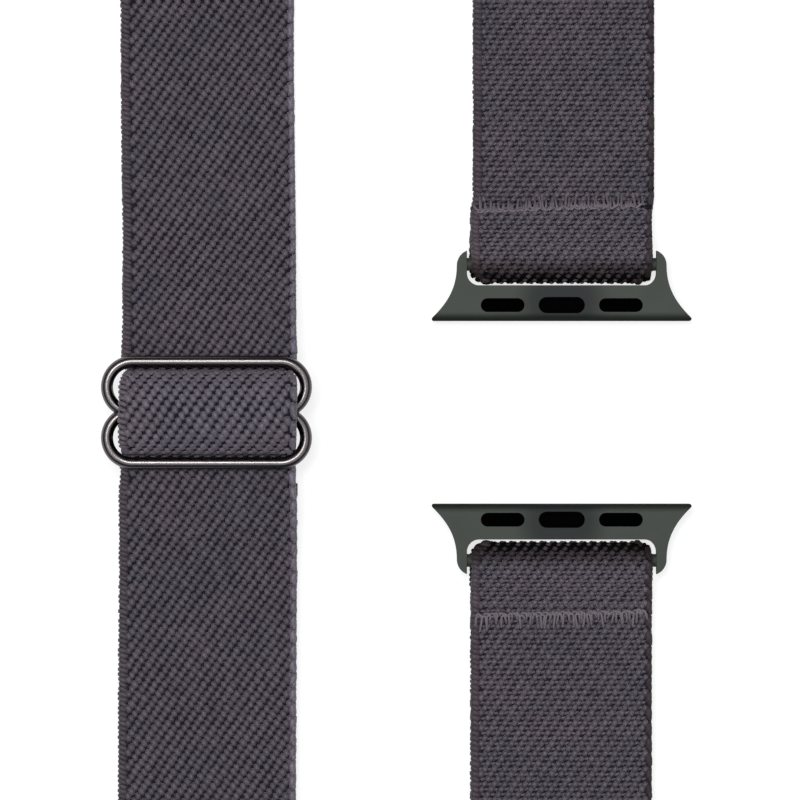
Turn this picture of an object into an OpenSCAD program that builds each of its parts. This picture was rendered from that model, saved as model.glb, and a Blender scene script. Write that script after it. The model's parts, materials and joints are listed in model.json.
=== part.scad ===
// Loop watch band of woven elastic webbing, laid flat as in its catalogue view.
// One strap is sewn round the bar of lug A, runs through a wire slide, goes round the bar of
// lug B and comes back as a second layer to the centre bar of the slide, where it is sewn.
// +X points right, +Y up along the runs, +Z up from the table. The origin is on the table
// under the centre of the whole band. All sizes are in millimetres.

/* [Strap] */
// Width of the woven strap
strap_w = 22; // [18:0.5:26]
// Thickness of one layer of the strap
strap_t = 1.5; // [1.2:0.1:2]
// Length of each straight run, measured from the middle of the band
run_half = 51; // [48:1:90]
// Distance between the centrelines of the left and the right run
run_spacing = 43.8; // [40:0.2:60]
// How far the middle of the strap reaches past the straight runs at each turn
turn_depth = 22; // [16:1:40]

/* [Slide] */
// Diameter of the wire that the slide is formed from
wire_d = 1.5; // [1.2:0.1:2]
// Free room beside the two layers of strap in each ring of the slide
ring_room = 1.75; // [1.6:0.05:3]
// How far each end of the slide reaches past the edge of the strap
slide_overhang = 2; // [1.8:0.1:3]
// How much narrower the strap is where the slide pinches it
pinch = 0.4; // [0.2:0.1:1]
// Length of the sewn end of the inner layer past the outer bar of the slide
hem_reach = 1.6; // [1:0.1:5]

/* [Lugs] */
// Gap between the two lugs, which the watch case fills
case_gap = 22.6; // [20:0.2:34]
// Thickness of each lug
lug_t = 3.4; // [3:0.1:4.5]
// Diameter of the bar that the strap goes round
bar_d = 1.6; // [1.2:0.1:1.8]
// Distance from the base edge of a lug to the middle of its bar
bar_reach = 7; // [6.9:0.1:12]
// How far each ear reaches past the bar
ear_reach = 1.8; // [1.2:0.1:3]
// Width of each ear beside the slot
ear_w = 1.25; // [1:0.05:2.5]
// How far each pointed tip reaches past its ear
flare = 3.1; // [1.5:0.1:5]
// Height over which the flare of the tips runs out
flare_h = 7; // [5:0.5:7.5]
// Radius of the outer corner of each ear
ear_corner_r = 1.9; // [1:0.1:2.4]
// Radius of the inner corners of the slot
slot_corner_r = 1.5; // [0.5:0.1:2.5]
// Bevel along the base edge of a lug
nose_bevel = 0.9; // [0.4:0.1:1.2]

/* [Latch and pads] */
// Distance from the base edge of a lug to the middle of its three pockets
pocket_reach = 1.95; // [1.9:0.05:2.4]
// Length of the middle pocket, which holds the latch
latch_l = 5.7; // [5:0.1:7]
// Width of the middle pocket
latch_w = 2; // [1.8:0.05:2.2]
// Thickness of metal left under the latch pocket
pocket_floor = 0.7; // [0.5:0.1:0.9]
// Height of the guide pressed into the mouth of the latch pocket
guide_h = 0.8; // [0.6:0.05:0.9]
// Wall of the guide
guide_wall = 0.32; // [0.25:0.01:0.4]
// Thickness of the flange of the latch
flange_t = 0.4; // [0.3:0.05:0.45]
// How far the latch stands out of the lug at rest
latch_proud = 0.2; // [0.05:0.05:0.5]
// Diameter of the wire of the latch springs
spring_wire_d = 0.2; // [0.15:0.01:0.25]
// Distance of each latch spring from the middle of the pocket
spring_x = 1.5; // [1.2:0.05:1.7]
// Length of each grip pad
pad_l = 5.4; // [4.5:0.1:6]
// Width of each grip pad
pad_w = 1.7; // [1.4:0.05:2]
// Depth of the pockets of the grip pads
pad_depth = 0.9; // [0.5:0.05:1.2]
// Distance between the middle pocket and each pad
pad_spacing = 7.3; // [6.8:0.1:8]

/* [Stitching] */
// Distance from the bar of a lug to the middle of its row of stitches
stitch_reach = 7.6; // [7:0.1:14]
// Height of a row of zigzag stitches
stitch_h = 2.8; // [1:0.1:3]
// Distance between two stitches of a zigzag
stitch_pitch = 1.2; // [0.9:0.05:2]
// Diameter of the sewing thread
thread_d = 0.25; // [0.2:0.05:0.35]

/* [Clearances] */
// Gap between two layers of strap that lie on each other
layer_gap = 0.1; // [0.05:0.01:0.2]
// Gap between the strap and the wire of the slide
wire_gap = 0.05; // [0.03:0.01:0.1]
// Gap between the strap that arches over the centre bar and each outer bar
bulge_gap = 0.3; // [0.2:0.05:0.6]
// Running clearance of the strap round the bar of a lug
bar_fit = 0.06; // [0.03:0.01:0.1]
// Gap between the strap and each ear of a lug
ear_gap = 0.7; // [0.5:0.05:1.2]
// Gap between the fold of the strap and the edge of the slot of a lug
nose_gap = 0.24; // [0.1:0.02:0.6]
// Clearance round the pads and the guide in their pockets
seat_gap = 0.02; // [0.01:0.01:0.05]
// Running clearance round the latch
latch_fit = 0.06; // [0.04:0.01:0.1]

/* [Hidden] */
strap_colour = "#49444b";
thread_colour = "#6a656c";
lug_colour = "#464942";
wire_colour = "#55525a";
black = "#0c0c0d";
steel_colour = "#b8b8b4";

wire_r = wire_d / 2;
bar_r = bar_d / 2;
half_w = strap_w / 2;
// Smallest inner radius to which the strap is bent
bend_in = 0.35;
bend_r = strap_t / 2 + bend_in;

// Middle heights of the three layers that can lie on each other
layer_1 = strap_t / 2;
layer_2 = layer_1 + strap_t + layer_gap;
layer_3 = layer_2 + strap_t + layer_gap + thread_d;

// The slide: two rings side by side that share the centre bar
slide_z = layer_3 + strap_t / 2 + wire_gap + wire_r;
bar_pitch = wire_d + 2 * strap_t + ring_room;
ring_r = bar_pitch / 2;
ring_end_x = half_w + slide_overhang - wire_r - ring_r;
slide_w = 2 * (half_w + slide_overhang);
pinched_half = half_w - pinch / 2;
// How much further the rings reach from the centre bar at the edge of the strap than at its middle
ring_bend = max(0, pinched_half - ring_end_x);
wires_apart = ring_r - wire_r - sqrt(pow(ring_r - wire_r, 2) - pow(ring_bend, 2));
wrap_y = wires_apart + wire_r + wire_gap + strap_t / 2;
// Extra height over the centre bar, where the wires of the two rings lie side by side
wrap_slack = 0.1;
wrap_h = wire_r + wire_gap + wrap_slack + strap_t / 2;
over_y = max(wrap_y + strap_t + layer_gap, bar_pitch - wire_r - bulge_gap - strap_t / 2);
over_h = wrap_h + strap_t + layer_gap;
over_end = bar_pitch + wire_r + 1;
hem_end = bar_pitch + wire_r + hem_reach;
wrap_start = hem_end + 1;
// The strap comes down to the table on these stretches
fall_start = max(over_end, hem_end) + 1.4;
fall_single = 16;
fall_double = 10;

// The lugs and the strap round their bars
bar_z = bar_r + bar_fit + strap_t;
loop_r = bar_r + bar_fit + strap_t / 2;
loop_lead = 0.5;
loop_fall = 4.6;
loop_end = 2 * loop_lead + loop_fall;
bar_y = case_gap / 2 + bar_reach;
// Distance from the base edge of a lug to its strap slot
slot_reach = bar_reach - loop_r - strap_t / 2 - nose_gap;
slot_half = half_w + ear_gap;
ear_half = slot_half + ear_w;
tip_half = ear_half + flare;
ear_end = bar_reach + ear_reach;
ear_bottom = bar_z - bar_r - 0.35;
// The round end of each tip, and the angle at which it runs into the flare
tip_r = 0.25;
tip_turn = 48;
tip_top = tip_r * (1 + sin(tip_turn));
// The flare falls away from the tip as this power of the height
flare_power = 2.3;
flare_full = (flare - tip_r * (1 - cos(tip_turn))) / pow(1 - tip_top / flare_h, flare_power);
flare_top = min(flare_h, ear_end - ear_corner_r) - 0.3;

// Places of the two runs, so that the whole band is centred
band_w = slide_w / 2 + run_spacing + tip_half;
left_x = slide_w / 2 - band_w / 2;
right_x = left_x + run_spacing;

// The latch in its pocket
guide_l = latch_l - 2 * seat_gap;
guide_w = latch_w - 2 * seat_gap;
hole_l = guide_l - 2 * guide_wall;
hole_w = guide_w - 2 * guide_wall;
flange_top = lug_t - guide_h - seat_gap;
flange_bottom = flange_top - flange_t;
spring_r = latch_w / 2 - 0.2 - spring_wire_d / 2;
spring_turns = 3;

$fn = 64;
MANY = 24;

function smooth(u) = let (v = min(1, max(0, u))) v * v * (3 - 2 * v);

function arc(centre, rx, ry, from, to, steps) = [
    for (i = [0:steps])
        let (a = from + (to - from) * i / steps)
            [centre[0] + rx * cos(a), centre[1] + ry * sin(a)]
];

// A soft S between two heights
function fall(from, to, steps) = [
    for (i = [0:steps])
        let (u = i / steps)
            [from[0] + (to[0] - from[0]) * u, from[1] + (to[1] - from[1]) * smooth(u)]
];

function heading(path, i) =
    let (d = path[min(len(path) - 1, i + 1)] - path[max(0, i - 1)]) d / norm(d);

function beside(path, i, by) = let (d = heading(path, i)) path[i] + by * [-d[1], d[0]];

// Outline of a layer of strap whose middle follows a path in the YZ plane
function layer_outline(path) = concat(
    [for (i = [0:len(path) - 1]) beside(path, i, strap_t / 2)],
    [for (i = [len(path) - 1:-1:0]) beside(path, i, -strap_t / 2)]
);

module layer(path, width) {
    rotate([90, 0, 90])
        linear_extrude(width, center = true)
            polygon(layer_outline(path));
}

module stadium(length, width) {
    square([length - width, width], center = true);
    for (s = [-1, 1])
        translate([s * (length - width) / 2, 0])
            circle(d = width);
}

module at_lug(side) {
    translate([right_x, 0, 0])
        mirror([0, side == "a" ? 0 : 1, 0])
            translate([0, case_gap / 2, 0])
                children();
}

module at_bar(side) {
    at_lug(side)
        translate([0, bar_reach, 0])
            children();
}

// The wire slide
module ring_half() {
    for (y = [0, bar_pitch])
        translate([0, y, 0])
            rotate([0, 90, 0])
                cylinder(r = wire_r, h = 2 * ring_end_x, center = true);
    for (s = [-1, 1])
        translate([s * ring_end_x, ring_r, 0])
            rotate([0, 0, s > 0 ? -90 : 90])
                rotate_extrude(angle = 180)
                    translate([ring_r, 0])
                        circle(r = wire_r);
}

module slide_frame() {
    color(wire_colour)
        translate([left_x, 0, slide_z])
            for (side = [0, 1])
                mirror([0, side, 0])
                    intersection() {
                        ring_half();
                        translate([0, bar_pitch, 0])
                            cube([2 * slide_w, 2 * bar_pitch, 4 * wire_d], center = true);
                    }
}

// The strap at the slide: under both outer bars and over the centre bar
over_path = concat(
    [[over_end, layer_3]],
    arc([over_y + bend_r, layer_3 + bend_r], bend_r, bend_r, 270, 180, 6),
    arc([0, slide_z], over_y, over_h, 0, 180, MANY),
    arc([-over_y - bend_r, layer_3 + bend_r], bend_r, bend_r, 0, -90, 6),
    [[-over_end, layer_3]]
);

// Where it goes down beside the outer bars, the round ends of the rings press its edges in
press_r = 1.2;
press_depth = press_r - 0.5;

module strap_over_bar() {
    color(strap_colour)
        translate([left_x, 0, 0])
            difference() {
                layer(over_path, 2 * pinched_half);
                for (x = [-1, 1], y = [-1, 1])
                    translate([
                        x * (pinched_half + press_r - press_depth),
                        y * (over_y + strap_t / 2 + 0.1), layer_3 - strap_t
                    ])
                        cylinder(r = press_r, h = over_h + 3 * strap_t, $fn = 40);
            }
}

// The end of the inner layer goes up round the centre bar and is sewn back on itself
wrap_path = concat(
    [[-wrap_start, layer_1]],
    arc([wrap_y - bend_r, layer_1 + bend_r], bend_r, bend_r, 270, 360, 6),
    arc([0, slide_z], wrap_y, wrap_h, 0, 180, MANY),
    arc([-wrap_y - bend_r, layer_2 + bend_r], bend_r, bend_r, 0, -90, 6),
    [[-hem_end, layer_2]]
);

module centre_bar_fold() {
    color(strap_colour)
        translate([left_x, 0, 0])
            layer(wrap_path, 2 * pinched_half);
}

// One row of zigzag stitches in the XY plane
module zigzag(width, height) {
    count = floor((width - 1.6) / stitch_pitch);
    for (i = [0:count - 1])
        translate([(i - (count - 1) / 2) * stitch_pitch, 0])
            for (s = [-1, 1])
                polygon([
                    [-thread_d / 2, -height / 2], [thread_d / 2, -height / 2],
                    [s * stitch_pitch / 2 + thread_d / 2, height / 2],
                    [s * stitch_pitch / 2 - thread_d / 2, height / 2]
                ]);
}

module stitches(width, height) {
    linear_extrude(thread_d)
        zigzag(width, height);
}

seam_h = min(stitch_h, hem_end - over_y - bend_r - 1.2);

module slide_seam() {
    color(thread_colour)
        translate([left_x, -hem_end + seam_h / 2 + 0.5, layer_2 + strap_t / 2])
            stitches(2 * pinched_half, seam_h);
}

// The runs on the left, which lie on the table past the slide
module strand_left_top() {
    color(strap_colour)
        translate([left_x, 0, 0])
            layer(concat(
                [[over_end, layer_3]],
                fall([fall_start, layer_3], [fall_start + fall_single, layer_1], 12),
                [[run_half, layer_1]]
            ), strap_w);
}

module strand_left_bottom_outer() {
    color(strap_colour)
        translate([left_x, 0, 0])
            layer(concat(
                [[-over_end, layer_3]],
                fall([-fall_start, layer_3], [-fall_start - fall_double, layer_2], 10),
                [[-run_half, layer_2]]
            ), strap_w);
}

module flat_run(x, from, to, height) {
    color(strap_colour)
        translate([x, 0, 0])
            layer([[from, height], [to, height]], strap_w);
}

module strand_left_bottom_inner() {
    flat_run(left_x, -wrap_start, -run_half, layer_1);
}

// A turn joins the left run to the right one. The strap comes up from the table and twists
// before it turns, stands on its edge at the apex, and lies down again with its other face up.
turn_steps = 32;
// Part of the turn after which the strap stands on its edge
upright_share = 0.42;
// How far each of two layers springs away from the other where they twist
turn_parting = 0.2;
// Strips across the width of the strap in a turn
turn_spans = 4;

function turn_heading(u) = 180 * smooth(u);

function turn_tilt(u) =
    u < 0.5 ? 90 * smooth(u / upright_share) : 180 - 90 * smooth((1 - u) / upright_share);

// The plan of the turn, walked in small steps along its heading
turn_walk = [
    for (
        i = 0, p = [0, 0];
        i <= turn_steps;
        p = p + (let (h = turn_heading((i + 0.5) / turn_steps)) [sin(h), cos(h)]),
        i = i + 1
    ) p
];
turn_scale = [
    run_spacing / turn_walk[turn_steps][0],
    turn_depth / turn_walk[turn_steps / 2][1]
];

function turn_section(i, height, aside) =
    let (
        u = i / turn_steps,
        tilt = turn_tilt(u),
        h = turn_heading(u),
        along = [turn_scale[0] * sin(h), turn_scale[1] * cos(h), 0],
        t = along / norm(along),
        n = cos(tilt) * [0, 0, 1] + sin(tilt) * [-t[1], t[0], 0],
        w = cross(t, n),
        lift = half_w * sin(tilt) + height * sqrt(pow(cos(tilt), 2) + 0.04 * pow(sin(tilt), 2)),
        plan = [left_x + turn_scale[0] * turn_walk[i][0], run_half + turn_scale[1] * turn_walk[i][1]],
        parted = aside + sign(aside) * turn_parting * sin(tilt),
        c = [plan[0], plan[1], lift] + parted * n,
        e = half_w - strap_t / 4,
        face = [for (k = [0:turn_spans]) 2 * e * k / turn_spans - e]
    )
    [
        for (p = concat(
            [for (across = face) [across, 1]],
            [[half_w, 0.5], [half_w, -0.5]],
            [for (across = face) [-across, -1]],
            [[-half_w, -0.5], [-half_w, 0.5]]
        ))
            c + p[0] * w + p[1] * strap_t / 2 * n
    ];

// Both faces of a turn are split along the same diagonals, so that its thickness is even
module turn(height, aside) {
    corners = 2 * (turn_spans + 3);
    points = [for (i = [0:turn_steps]) each turn_section(i, height, aside)];
    walls = [
        for (i = [0:turn_steps - 1], j = [0:corners - 1])
            let (
                a = i * corners + j,
                b = i * corners + (j + 1) % corners,
                next_a = a + corners,
                next_b = b + corners
            )
                each j < corners / 2
                    ? [[a, next_b, b], [a, next_a, next_b]]
                    : [[a, next_a, b], [b, next_a, next_b]]
    ];
    cap = concat(
        [for (k = [0:turn_spans - 1]) [k, k + 1, corners - 4 - k, corners - 3 - k]],
        [[turn_spans, turn_spans + 1, turn_spans + 2, turn_spans + 3]],
        [[corners - 3, corners - 2, corners - 1, 0]]
    );
    far_cap = [for (f = cap) [for (k = [3:-1:0]) f[k] + turn_steps * corners]];
    color(strap_colour)
        polyhedron(points, concat(walls, cap, far_cap));
}

module turn_top() {
    turn(layer_1, 0);
}

module turn_bottom_outer() {
    mirror([0, 1, 0])
        turn((layer_1 + layer_2) / 2, (layer_2 - layer_1) / 2);
}

module turn_bottom_inner() {
    mirror([0, 1, 0])
        turn((layer_1 + layer_2) / 2, (layer_1 - layer_2) / 2);
}

// The runs on the right
module strand_right_top() {
    flat_run(right_x, bar_y + loop_lead, run_half, layer_1);
}

module strand_right_bottom_outer() {
    flat_run(right_x, -bar_y - loop_lead, -run_half, layer_1);
}

module strand_right_bottom_inner() {
    flat_run(right_x, -bar_y - loop_end, -run_half, layer_2);
}

// The strap goes round the bar of a lug and comes back on top of itself
function lug_loop(end) = concat(
    [[loop_lead, layer_1]],
    arc([0, bar_z], loop_r, loop_r, 270, 90, MANY),
    fall([loop_lead, bar_z + loop_r], [loop_lead + loop_fall, layer_2], 10),
    [[max(end, loop_end), layer_2]]
);

module strap_end_lug_a() {
    color(strap_colour)
        at_bar("a")
            layer(lug_loop(stitch_reach + stitch_h / 2 + 0.2), strap_w);
}

module strap_loop_lug_b() {
    color(strap_colour)
        at_bar("b")
            layer(lug_loop(loop_end), strap_w);
}

module lug_stitches(side) {
    color(thread_colour)
        at_bar(side)
            translate([0, max(stitch_reach, loop_end + stitch_h / 2), layer_2 + strap_t / 2])
                stitches(strap_w, min(stitch_h, 2 * (stitch_reach - loop_end)));
}

module stitches_lug_a() {
    lug_stitches("a");
}

module stitches_lug_b() {
    lug_stitches("b");
}

// One side of the outline of a lug, from its base edge to the end of its ear
function flare_x(y) = ear_half + flare_full * pow(max(0, 1 - y / flare_h), flare_power);

lug_side = concat(
    arc([tip_half - tip_r, tip_r], tip_r, tip_r, -90, tip_turn, 5),
    [for (i = [1:16]) let (y = tip_top + (flare_top - tip_top) * i / 16) [flare_x(y), y]],
    arc([ear_half - ear_corner_r, ear_end - ear_corner_r], ear_corner_r, ear_corner_r, 0, 90, 10)
);

module lug_outline() {
    polygon(concat(
        lug_side,
        [for (i = [len(lug_side) - 1:-1:0]) [-lug_side[i][0], lug_side[i][1]]]
    ));
}

// Section of a lug from its base edge to its bar: bevelled nose, flat body, slimmer ears
module lug_section() {
    rotate([90, 0, 90])
        linear_extrude(4 * tip_half, center = true)
            polygon(concat(
                arc([nose_bevel, nose_bevel], nose_bevel, nose_bevel, 180, 270, 6),
                [[slot_reach - 0.6, 0]],
                fall([slot_reach, 0], [bar_reach, ear_bottom], 8),
                [[ear_end + 1, ear_bottom], [ear_end + 1, lug_t]],
                arc([nose_bevel, lug_t - nose_bevel], nose_bevel, nose_bevel, 90, 180, 6)
            ));
}

module slot_outline() {
    translate([-slot_half, slot_reach + slot_corner_r])
        square([2 * slot_half, ear_end]);
    translate([-slot_half + slot_corner_r, slot_reach])
        square([2 * (slot_half - slot_corner_r), ear_end]);
    for (s = [-1, 1])
        translate([s * (slot_half - slot_corner_r), slot_reach + slot_corner_r])
            circle(r = slot_corner_r);
}

module pocket(x, length, width, depth) {
    translate([x, pocket_reach, lug_t - depth])
        linear_extrude(depth + 1)
            stadium(length, width);
}

module lug_frame(side) {
    color(lug_colour)
        at_lug(side) {
            difference() {
                intersection() {
                    linear_extrude(lug_t)
                        lug_outline();
                    lug_section();
                }
                translate([0, 0, -1])
                    linear_extrude(lug_t + 2)
                        slot_outline();
                pocket(0, latch_l, latch_w, lug_t - pocket_floor);
                for (s = [-1, 1])
                    pocket(s * pad_spacing, pad_l, pad_w, pad_depth);
            }
            translate([0, bar_reach, bar_z])
                rotate([0, 90, 0])
                    cylinder(r = bar_r, h = 2 * slot_half + ear_w, center = true);
        }
}

// Guide pressed into the mouth of the latch pocket
module latch_guide(side) {
    color(black)
        at_lug(side)
            translate([0, pocket_reach, lug_t - guide_h])
                linear_extrude(guide_h)
                    difference() {
                        stadium(guide_l, guide_w);
                        stadium(hole_l, hole_w);
                    }
}

// The latch: a head that stands out of the guide, on a flange that the guide holds in
module latch_plunger(side) {
    head_l = hole_l - 2 * latch_fit;
    head_w = hole_w - 2 * latch_fit;
    color(black)
        at_lug(side)
            translate([0, pocket_reach, 0]) {
                translate([0, 0, flange_bottom])
                    linear_extrude(flange_t)
                        stadium(latch_l - 2 * latch_fit, latch_w - 2 * latch_fit);
                translate([0, 0, flange_bottom])
                    linear_extrude(lug_t + latch_proud - flange_bottom)
                        stadium(head_l, head_w);
            }
}

function coil_section(u, height) =
    let (
        a = 360 * spring_turns * u,
        z = spring_wire_d / 2 + (height - spring_wire_d) * u,
        out = [cos(a), sin(a), 0]
    )
    [
        for (k = [0:5])
            spring_r * out + [0, 0, z]
                + spring_wire_d / 2 * (cos(60 * k) * out + sin(60 * k) * [0, 0, 1])
    ];

module coil(height) {
    steps = 10 * spring_turns;
    points = [for (i = [0:steps]) each coil_section(i / steps, height)];
    walls = [
        for (i = [0:steps - 1], k = [0:5])
            let (a = 6 * i + k, b = 6 * i + (k + 1) % 6)
                each [[a, b, b + 6], [a, b + 6, a + 6]]
    ];
    start = [[for (k = [5:-1:0]) k]];
    end = [[for (k = [0:5]) 6 * steps + k]];
    polyhedron(points, concat(walls, start, end));
}

module latch_springs(side) {
    color(steel_colour)
        at_lug(side)
            for (s = [-1, 1])
                translate([s * spring_x, pocket_reach, pocket_floor])
                    coil(flange_bottom - pocket_floor);
}

// Grip pad set into its pocket
module pad(side, place) {
    color(black)
        at_lug(side)
            translate([place * pad_spacing, pocket_reach, lug_t - pad_depth])
                linear_extrude(pad_depth - 0.05)
                    stadium(pad_l - 2 * seat_gap, pad_w - 2 * seat_gap);
}

slide_frame();
strap_over_bar();
centre_bar_fold();
slide_seam();
strand_left_top();
strand_left_bottom_outer();
strand_left_bottom_inner();
turn_top();
turn_bottom_outer();
turn_bottom_inner();
strand_right_top();
strand_right_bottom_outer();
strand_right_bottom_inner();
strap_end_lug_a();
strap_loop_lug_b();
stitches_lug_a();
stitches_lug_b();
lug_frame("a");  // lug_a_frame
latch_guide("a");  // lug_a_latch_guide
latch_plunger("a");  // lug_a_latch_plunger
latch_springs("a");  // lug_a_latch_springs
pad("a", -1);  // lug_a_pad_left
pad("a", 1);  // lug_a_pad_right
lug_frame("b");  // lug_b_frame
latch_guide("b");  // lug_b_latch_guide
latch_plunger("b");  // lug_b_latch_plunger
latch_springs("b");  // lug_b_latch_springs
pad("b", -1);  // lug_b_pad_left
pad("b", 1);  // lug_b_pad_right
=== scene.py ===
"""Loop watch band of woven elastic webbing, with a wire slide and two lugs for a watch case."""
import json
import math

import bmesh
import bpy
import numpy as np
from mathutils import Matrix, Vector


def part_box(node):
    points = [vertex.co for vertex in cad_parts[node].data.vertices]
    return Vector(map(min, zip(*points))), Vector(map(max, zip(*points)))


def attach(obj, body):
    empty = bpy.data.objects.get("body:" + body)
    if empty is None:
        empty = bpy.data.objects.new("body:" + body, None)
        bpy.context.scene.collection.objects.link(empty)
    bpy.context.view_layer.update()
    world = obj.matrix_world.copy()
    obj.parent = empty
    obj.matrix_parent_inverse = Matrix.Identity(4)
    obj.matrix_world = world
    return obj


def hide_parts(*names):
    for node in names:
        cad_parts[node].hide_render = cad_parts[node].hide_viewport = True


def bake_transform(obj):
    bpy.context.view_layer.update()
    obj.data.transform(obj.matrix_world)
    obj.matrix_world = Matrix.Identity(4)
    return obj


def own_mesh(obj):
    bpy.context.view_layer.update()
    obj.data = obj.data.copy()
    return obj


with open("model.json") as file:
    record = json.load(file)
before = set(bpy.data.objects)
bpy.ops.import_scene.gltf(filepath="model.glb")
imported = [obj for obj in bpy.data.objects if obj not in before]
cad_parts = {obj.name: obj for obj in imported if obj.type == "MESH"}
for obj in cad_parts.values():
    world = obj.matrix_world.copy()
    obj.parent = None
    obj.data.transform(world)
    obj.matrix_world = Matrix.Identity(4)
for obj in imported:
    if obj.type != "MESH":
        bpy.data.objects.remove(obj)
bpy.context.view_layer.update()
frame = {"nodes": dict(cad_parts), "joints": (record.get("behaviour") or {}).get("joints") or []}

MM = 0.001
X_AXIS = np.array([1.0, 0.0, 0.0])

# Sizes and places, read from the frame
LOW = {node: np.array(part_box(node)[0]) for node in frame["nodes"]}
HIGH = {node: np.array(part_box(node)[1]) for node in frame["nodes"]}
SIZE = {node: HIGH[node] - LOW[node] for node in LOW}
MIDDLE = {node: (HIGH[node] + LOW[node]) / 2 for node in LOW}

strap_half, strap_t = SIZE["strand_right_top"][0] / 2, SIZE["strand_right_top"][2]
layer_1 = MIDDLE["strand_right_top"][2]
layer_2 = MIDDLE["strand_right_bottom_inner"][2]
layer_3 = LOW["strap_over_bar"][2] + strap_t / 2
left_x, right_x = MIDDLE["slide_frame"][0], MIDDLE["strand_right_top"][0]
run_half = HIGH["strand_left_top"][1]

wire_r = SIZE["slide_frame"][2] / 2
slide_z = MIDDLE["slide_frame"][2]
bar_pitch = HIGH["slide_frame"][1] - wire_r
pinched_half = SIZE["strap_over_bar"][0] / 2
wrap_y = HIGH["centre_bar_fold"][1] - strap_t / 2
wrap_h = HIGH["centre_bar_fold"][2] - strap_t / 2 - slide_z
over_h = HIGH["strap_over_bar"][2] - strap_t / 2 - slide_z
BULGE_GAP = 0.3 * MM
over_y = bar_pitch - wire_r - BULGE_GAP - strap_t / 2
over_end = HIGH["strap_over_bar"][1]
# The arch meets the runs out of sight, under the outer bars
join_y = bar_pitch
wrap_start = -HIGH["strand_left_bottom_inner"][1]
hem_end = -LOW["slide_seam"][1] + 0.5 * MM
fall_start = hem_end + 1.4 * MM
fall_single, fall_double = 16 * MM, 10 * MM
BEND_IN = 0.35 * MM
bend_r = strap_t / 2 + BEND_IN

pivot = next(joint for joint in frame["joints"] if joint["name"] == "lug_a_pivot")["pos_m"]
bar_y, bar_z = pivot[1], pivot[2]
loop_r = bar_z - strap_t / 2
loop_lead = LOW["strand_right_top"][1] - bar_y
loop_end = -bar_y - HIGH["strand_right_bottom_inner"][1]
folded_end = HIGH["strap_end_lug_a"][1] - bar_y
base_edge = LOW["lug_a_frame"][1]


def srgb(code):
    """A hex colour as linear RGBA."""
    parts = [int(code[i:i + 2], 16) / 255 for i in (1, 3, 5)]
    return tuple(p / 12.92 if p <= 0.04045 else ((p + 0.055) / 1.055) ** 2.4 for p in parts) + (1.0,)


def add(tree, kind, links=None, **settings):
    """Adds a node. Settings are its own properties, links are values or sockets for its inputs."""
    node = tree.nodes.new(kind)
    for name, value in settings.items():
        setattr(node, name, value)
    for name, value in (links or {}).items():
        socket = node.inputs[name]
        if isinstance(value, bpy.types.NodeSocket):
            tree.links.new(value, socket)
        else:
            socket.default_value = value
    return node


def material(name):
    """A new material with its Principled shader, as (material, tree, shader)."""
    made = bpy.data.materials.new(name)
    made.use_nodes = True
    tree = made.node_tree
    return made, tree, tree.nodes["Principled BSDF"]


def smooth(u):
    v = np.clip(u, 0, 1)
    return v * v * (3 - 2 * v)


def unit(vectors):
    return vectors / np.linalg.norm(vectors, axis=-1, keepdims=True)


# Materials

def elastic_yarn():
    """Textured polyester yarn: matte, with a faint sheen from its crimped filaments."""
    made, tree, shader = material("textured polyester yarn")
    tone = add(tree, "ShaderNodeAttribute", attribute_name="tone").outputs["Fac"]
    place = add(tree, "ShaderNodeTexCoord").outputs["Object"]
    # Dyed filaments take the colour unevenly, which shows as warm and cool flecks of about 0.25 mm
    fleck = add(tree, "ShaderNodeTexNoise", {"Vector": place, "Scale": 4200.0, "Detail": 3.0,
                                             "Roughness": 0.65})
    # and as faint clouds of about 6 mm
    cloud = add(tree, "ShaderNodeTexNoise", {"Vector": place, "Scale": 160.0, "Detail": 1.0})
    drift = add(tree, "ShaderNodeMapRange", {"Value": cloud.outputs["Fac"], "To Min": -0.12, "To Max": 0.12})
    both = add(tree, "ShaderNodeMath", {0: fleck.outputs["Fac"], 1: drift.outputs["Result"]}, operation="ADD")
    hue = add(tree, "ShaderNodeValToRGB", {"Fac": both.outputs[0]})
    hue.color_ramp.elements[0].position, hue.color_ramp.elements[1].position = 0.3, 0.7
    hue.color_ramp.elements[0].color = srgb("#42404e")
    hue.color_ramp.elements[1].color = srgb("#65555c")
    # The tone attribute carries the yarn's random unevenness and also painted light and shade: lighter on the
    # arch, darker on the noses of the folds and along the edges of the right runs and folds. Where the yarn is
    # darker it is also a little browner
    red = add(tree, "ShaderNodeMath", {0: tone, 1: 0.9}, operation="POWER").outputs[0]
    blue = add(tree, "ShaderNodeMath", {0: tone, 1: 1.12}, operation="POWER").outputs[0]
    shade = add(tree, "ShaderNodeCombineXYZ", {"X": red, "Y": tone, "Z": blue}).outputs[0]
    dyed = add(tree, "ShaderNodeVectorMath", {0: hue.outputs["Color"], 1: shade}, operation="MULTIPLY")
    # Filaments are 0.02 mm; their crimp shows as a grain of about 0.12 mm
    grain = add(tree, "ShaderNodeTexNoise", {"Vector": place, "Scale": 8000.0, "Detail": 2.0})
    bump = add(tree, "ShaderNodeBump", {"Height": grain.outputs["Fac"], "Strength": 0.5, "Distance": 0.00006})
    tree.links.new(dyed.outputs[0], shader.inputs["Base Color"])
    tree.links.new(bump.outputs["Normal"], shader.inputs["Normal"])
    # Painted shade: the gloss and sheen fall with the tone
    for socket, most in (("Specular IOR Level", 0.5), ("Sheen Weight", 0.15)):
        amount = add(tree, "ShaderNodeMath", {0: tone, 1: most}, operation="MULTIPLY").outputs[0]
        tree.links.new(amount, shader.inputs[socket])
    shader.inputs["Roughness"].default_value = 0.55
    shader.inputs["Sheen Roughness"].default_value = 0.5
    return made


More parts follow.
